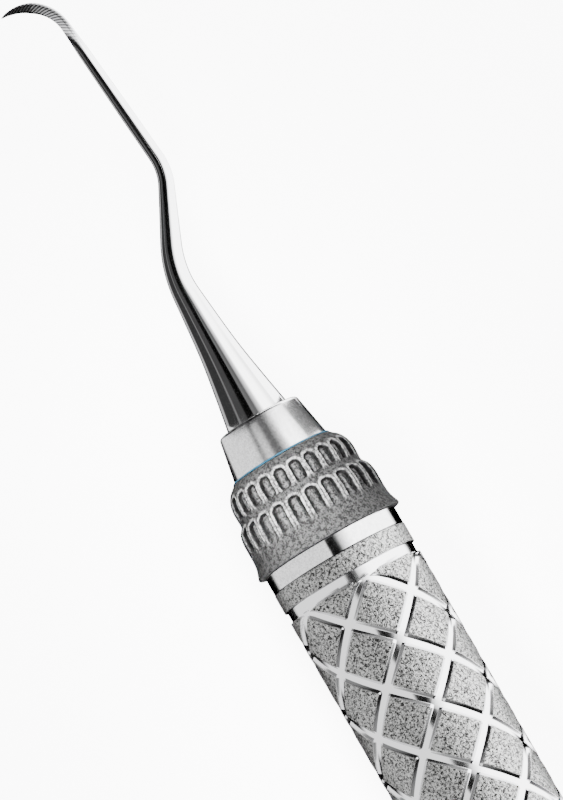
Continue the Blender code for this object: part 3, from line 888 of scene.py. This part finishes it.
def workingEnd():
    # a round section carried along the centre line, which turns into the blade's section and then
    # tapers to the toe as (distance left / taper)^0.72
    fine, lineX, lineY, heading, bladeStart = centreLine()
    end = fine[-1]
    columns = shank["columns"]
    angle = np.arange(columns) * math.tau / columns
    along = np.linspace(0, end, int(end / shank["step"]) + 1)
    nearToe = np.linspace(end - blade["taper"], end, 40)
    along = np.unique(np.concatenate([along, nearToe, [0.01 * mm, 0.03 * mm]]))
    knots = np.array([(0.0, seat["atMouth"] / mm * 2)] + shank["widths"]) * mm
    lastKnot, lastWidth = knots[-1]
    width = smoothCurve(knots[:, 0], knots[:, 1], np.minimum(along, lastKnot))
    radius = np.where(along >= lastKnot, lastWidth, width) / 2
    towards, across = radius[:, None] * np.cos(angle), radius[:, None] * np.sin(angle)
    height, width, half = bladeOutline(columns)
    left = np.clip((end - along) / blade["taper"], 0, 1)
    size = blade["tip"] + (1 - blade["tip"]) * left**0.72
    bladeFull = bladeStart + 0.3 * mm
    morph = smoothStep(bladeStart - blade["morph"], bladeFull, along)[:, None]
    towards = towards * (1 - morph) + morph * (height[None] * size[:, None] * blade["height"] / 2)
    across = across * (1 - morph) + morph * (width[None] * size[:, None] * blade["width"] / 2)
    x, y = np.interp(along, fine, lineX), np.interp(along, fine, lineY)
    h = np.interp(along, fine, heading)
    outside = np.stack([
        x[:, None] - towards * np.sin(h)[:, None], y[:, None] + towards * np.cos(h)[:, None], across
    ], axis=-1)
    sideFlat = smoothStep(blade["faceEnd"] - 0.02, blade["faceEnd"] + 0.02, half) * (1 - smoothStep(0.7, 0.92, half))
    ground = smoothStep(bladeStart - 2.0 * mm, bladeFull, along)[:, None] * sideFlat
    slant = along[:, None] * blade["marksPerMetre"] + blade["markSlant"] * half

    tang = roundedOutline([
        (tangBack, 0.2 * mm, 0),
        (tangBack, thread["core"] - 0.2 * mm, 0.04 * mm),
        (tangBack + 0.2 * mm, thread["core"], 0.04 * mm),
        (threadBack - 0.2 * mm, thread["core"], 0),
    ], closed=False)
    neck = roundedOutline([
        (threadFront + 0.26 * mm, thread["core"], 0),
        (landBack, thread["core"], 0.01 * mm),
        (landBack, seat["landRadius"], 0.03 * mm),
        (sealBack, seat["landRadius"], 0.03 * mm),
        (sealBack, sealFloor, 0.03 * mm),
        (sealFront, sealFloor, 0.03 * mm),
        (sealFront, seatEndRadius, 0.03 * mm),
        (mouth - fit["face"], seat["atMouth"] - fit["seat"], 0),
    ], closed=False)
    ridgeBack = threadBack - 0.15 * mm
    threadX = np.arange(ridgeBack, threadFront + 0.24 * mm, 0.045 * mm)
    ridge = threadHeight(threadX[:, None], angle, 0.0, ridgeBack, threadFront + 0.25 * mm)
    tangX = np.concatenate([tang[:, 0], threadX, neck[:, 0]])
    asColumns = [np.repeat(part[:, 1][:, None], columns, 1) for part in (tang, neck)]
    tangRadius = np.concatenate([asColumns[0], thread["core"] + thread["depth"] * ridge, asColumns[1]])
    rows = np.concatenate([turnedPoints(tangX, tangRadius, columns), outside])
    blank = np.zeros((len(tangX), columns))
    attributes = {"ground": np.concatenate([blank, ground]), "alongBlade": np.concatenate([blank, slant])}
    toe = (x[-1] + math.cos(h[-1]) * 0.01 * mm, y[-1] + math.sin(h[-1]) * 0.01 * mm, 0)
    return polarSolid("frontWorkingEnd", rows, (tangBack, 0, 0), toe, attributes, sharpDegrees=38)


frontTip = workingEnd()
rearTip = turnedRound(frontTip)
print("working ends", len(frontTip.data.polygons), "faces each")

finishes = {
    "knurled": knurledSteel(),
    "turned": turnedSteel(),
    "blade": bladeSteel(),
    "silicone": gripSilicone(),
    "blue": plainRubber("blueBand"),
    "seal": plainRubber("sealRubber"),
}
places = [  # piece, body, node, slot, finish
    (handlePiece, "handle", "handle_tube", "satin_steel", "knurled"),
    (frontSocket, "handle", "front_socket", "turned_steel", "turned"),
    (rearSocket, "handle", "rear_socket", "turned_steel", "turned"),
    (frontGrip, "handle", "front_grip_ring", "grey_silicone", "silicone"),
    (rearGrip, "handle", "rear_grip_ring", "grey_silicone", "silicone"),
    (frontCodeBand, "handle", "front_code_band", "blue_band", "blue"),
    (rearCodeBand, "handle", "rear_code_band", "blue_band", "blue"),
    (frontSeal, "front_seal", "front_tip_seal", "seal_rubber", "seal"),
    (rearSeal, "rear_seal", "rear_tip_seal", "seal_rubber", "seal"),
    (frontTip, "front_tip", "front_working_end", "polished_steel", "blade"),
    (rearTip, "rear_tip", "rear_working_end", "polished_steel", "blade"),
]
for piece, body, node, slotName, finishName in places:
    piece.data.materials.append(finishes[finishName])
    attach(piece, body)
    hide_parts(node)
print("pieces placed")

studio = {
    "floorHalf": 3.0,
    "floorGlow": 9.0,  # what the camera sees of the floor
    "cardHalf": [14.5 * mm, 6.0 * mm],  # half width of the floor strip that is dark in reflections: handle, shank
    "diffuse": 0.3,  # even light on matt surfaces
    "top": 9.0,  # strength of the brighter soft box
    "fill": 2.2,  # and of the dimmer one
    "overhead": 0.072,  # watts of the strip light over the handle
    "overheadSize": [140 * mm, 5 * mm],
    "overheadHeight": 14.5 * mm,
    "overheadSide": 2.5 * mm,  # towards +Y
    "cardNarrows": [54 * mm, 60 * mm],  # x over which the dark strip narrows
    "forward": [0.2, 0.34],  # how far a reflection has to lean along X to see the front's light
    "endOn": [0.46, 0.66],  # and the dark ends
}
flags = {  # cards that only reflections see, curved round the X axis
    "shankFlag": {
        "radius": 6.3 * mm,
        "rows": [(58.9 * mm, 5), (66 * mm, 5), (74 * mm, -18), (100 * mm, -18)],  # x, and where the card starts
        "last": 128,  # where it ends, in degrees from the zenith towards +Y
        "greys": [
            (24, 0.003), (29, 0.09), (50, 0.08), (53, 0.3), (56, 0.3), (60, 0.05), (104, 0.06), (112, 0.8),
        ],
    },
    "noseFlag": {
        "radius": 6.3 * mm,
        "rows": [(55.4 * mm, -62), (59.0 * mm, -62)],
        "last": -118,
        "greys": [(-110, 0.2), (-70, 0.6), (-62, 1.0)],
    },
}


def lightPath(tree, output):
    return tree.nodes.new("ShaderNodeLightPath").outputs[output]


def forRays(tree, output, usual, special):
    # the special shader for one kind of ray, and the usual one for the others
    node = tree.nodes.new("ShaderNodeMixShader")
    feed(tree, node, {0: lightPath(tree, output), 1: usual, 2: special})
    return node.outputs[0]


def axisValues(tree, output):
    split = tree.nodes.new("ShaderNodeSeparateXYZ")
    tree.links.new(coordinates(tree, output), split.inputs[0])
    return split.outputs


def fromZenith(tree, across, up):
    # the angle round the X axis from straight up, in degrees
    return mathNode(tree, "MULTIPLY", mathNode(tree, "ARCTAN2", across, up), 180 / math.pi)


def studioFloor():
    # one flat square, glowing to the camera. In reflections the strip under the instrument is dark,
    # and the floor on the two sides is as bright as the soft box above it
    half = studio["floorHalf"]
    level = cadBox[0][2] - 0.02 * mm
    mesh = bpy.data.meshes.new("studioFloor")
    corners = [(-half, -half, level), (half, -half, level), (half, half, level), (-half, half, level)]
    mesh.from_pydata(corners, [], [(0, 1, 2, 3)])
    floor = linkObject("studioFloor", mesh)
    material, tree, shader = newMaterial("paleFloor", 0.0)
    feed(tree, shader, {"Base Color": (0.8, 0.8, 0.8), "Roughness": 0.9, "Specular IOR Level": 0.1})
    feed(tree, shader, {"Emission Color": (1.0, 1.0, 1.0), "Emission Strength": studio["floorGlow"]})
    place = axisValues(tree, "Object")
    edge = rangeNode(tree, place["X"], *studio["cardNarrows"], *studio["cardHalf"], smooth=True)
    share = mathNode(tree, "DIVIDE", mathNode(tree, "ABSOLUTE", place["Y"]), edge)
    side = rangeNode(tree, place["Y"], -1 * mm, 1 * mm, studio["top"], studio["fill"])
    card = tree.nodes.new("ShaderNodeEmission")
    seen = mathNode(tree, "MULTIPLY", rangeNode(tree, share, 0.85, 1.15, 0.0, 1.0), side)
    glossy = mathNode(tree, "MULTIPLY", seen, lightPath(tree, "Is Glossy Ray"))
    matt = mathNode(tree, "MULTIPLY", lightPath(tree, "Is Diffuse Ray"), studio["diffuse"])
    tree.links.new(mathNode(tree, "ADD", glossy, matt), card.inputs["Strength"])
    chosen = forRays(tree, "Is Camera Ray", card.outputs[0], shader.outputs[0])
    tree.links.new(chosen, tree.nodes["Material Output"].inputs["Surface"])
    floor.data.materials.append(material)


def studioWorld():
    # two soft boxes along the instrument with a dark slot overhead: brightness follows the angle round X
    # from the zenith, changes towards the front, and falls off towards both ends
    world = bpy.data.worlds.new("studioWorld")
    bpy.context.scene.world = world
    world.use_nodes = True
    tree = world.node_tree
    direction = axisValues(tree, "Generated")
    turn = fromZenith(tree, mathNode(tree, "MULTIPLY", direction["Y"], -1.0), direction["Z"])
    fill = studio["fill"] / studio["top"]
    above = greyRamp(tree, turn, -180.0, 180.0, [
        (-12, fill), (-7, fill * 1.1), (-5, 0.001), (8, 0.001), (12, 0.03), (28, 0.7), (36, 1.0),
    ])
    ahead = greyRamp(tree, turn, -180.0, 180.0, [
        (-44, fill), (-36, 0.04), (-30, 0.04), (-24, fill * 0.9), (-12, fill * 0.8), (-6, 0.03),
        (12, 0.02), (28, 0.25), (38, 1.0), (62, 1.0), (80, 0.6),
    ])
    glow = tree.nodes["Background"]
    glow.inputs["Strength"].default_value = studio["top"]
    forward = rangeNode(tree, direction["X"], *studio["forward"], 0.0, 1.0, smooth=True)
    endOn = rangeNode(tree, mathNode(tree, "ABSOLUTE", direction["X"]), *studio["endOn"], 0.0, 1.0, smooth=True)
    ends = greyRamp(tree, turn, -180.0, 180.0, [
        (-34, 0.04), (-12, 0.015), (-5, 0.001), (46, 0.001), (64, 0.06),
    ])
    boxes = mixColours(tree, forward, above, ahead)
    tree.links.new(mixColours(tree, endOn, boxes, ends), glow.inputs["Color"])
    last = glow.outputs[0]
    for output, strength in (("Is Diffuse Ray", studio["diffuse"]), ("Is Camera Ray", studio["floorGlow"])):
        even = tree.nodes.new("ShaderNodeBackground")
        even.inputs["Strength"].default_value = strength
        last = forRays(tree, output, last, even.outputs[0])
    tree.links.new(last, tree.nodes["World Output"].inputs["Surface"])


def studioFlag(name):
    # point (row, column) is (x of the row, radius * sin angle, radius * cos angle),
    # with the angle even from the row's own start to the card's end
    card, columns = flags[name], 24
    x, first = np.array(card["rows"]).T
    angle = np.radians(np.linspace(first, np.full(len(x), card["last"]), columns, axis=1))
    across, up = card["radius"] * np.sin(angle), card["radius"] * np.cos(angle)
    points = np.stack([np.repeat(x[:, None], columns, 1), across, up], axis=-1)
    row, column = np.arange(len(x) - 1)[:, None] * columns, np.arange(columns - 1)
    corner = row + column
    faces = np.stack([corner, corner + 1, corner + columns + 1, corner + columns], axis=-1).reshape(-1, 4)
    mesh = bpy.data.meshes.new(name)
    mesh.from_pydata(points.reshape(-1, 3).tolist(), [], faces.tolist())
    flag = linkObject(name, mesh)
    material, tree = newMaterial(name, 0.0)[:2]
    glow = tree.nodes.new("ShaderNodeEmission")
    place = axisValues(tree, "Object")
    turn = fromZenith(tree, place["Y"], place["Z"])
    tree.links.new(greyRamp(tree, turn, -180.0, 180.0, card["greys"]), glow.inputs["Color"])
    tree.links.new(glow.outputs[0], tree.nodes["Material Output"].inputs["Surface"])
    flag.data.materials.append(material)
    flag.visible_camera = flag.visible_diffuse = flag.visible_shadow = flag.visible_transmission = False


def studioOverhead():
    # a soft strip light close over the handle, which only matt surfaces answer to
    lamp = bpy.data.lights.new("overhead", "AREA")
    lamp.shape = "RECTANGLE"
    lamp.size, lamp.size_y = studio["overheadSize"]
    lamp.energy = studio["overhead"]
    light = linkObject("overhead", lamp)
    light.location = (0, studio["overheadSide"], studio["overheadHeight"])
    light.visible_glossy = False
    light.visible_camera = False


view = {
    "lens": 300.0,
    "sensor": 36.0,
    "height": 50.92 * mm,  # height of the picture at the instrument's axis
    "tilt": 6.0,  # degrees towards the rear of the handle
    "lean": 30.0,  # degrees from upright to the handle's axis in the picture
    "lipRight": 3.06 * mm,
    "lipDown": 9.07 * mm,
}


def aimCamera():
    tilt, lean = math.radians(view["tilt"]), math.radians(view["lean"])
    alongView = np.array([math.cos(tilt), 0, math.sin(tilt)])
    acrossView = np.array([0.0, -1.0, 0.0])
    towards = np.array([-math.sin(tilt), 0, math.cos(tilt)])
    right = -math.sin(lean) * alongView + math.cos(lean) * acrossView
    up = math.cos(lean) * alongView + math.sin(lean) * acrossView
    lip = np.array([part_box("front_grip_ring")[0].x, 0, 0])
    centre = lip - view["lipRight"] * right + view["lipDown"] * up
    distance = view["height"] / view["sensor"] * view["lens"]
    camera = linkObject("camera", bpy.data.cameras.new("camera"))
    camera.data.lens = view["lens"]
    camera.data.sensor_width = view["sensor"]
    camera.data.clip_start = 0.01
    camera.data.clip_end = 20.0
    matrix = np.eye(4)
    matrix[:3, 0], matrix[:3, 1], matrix[:3, 2] = right, up, towards
    matrix[:3, 3] = centre + towards * distance
    camera.matrix_world = Matrix(matrix.tolist())
    bpy.context.scene.camera = camera


studioFloor()
studioWorld()
for flagName in flags:
    studioFlag(flagName)
studioOverhead()
aimCamera()
print("studio set")
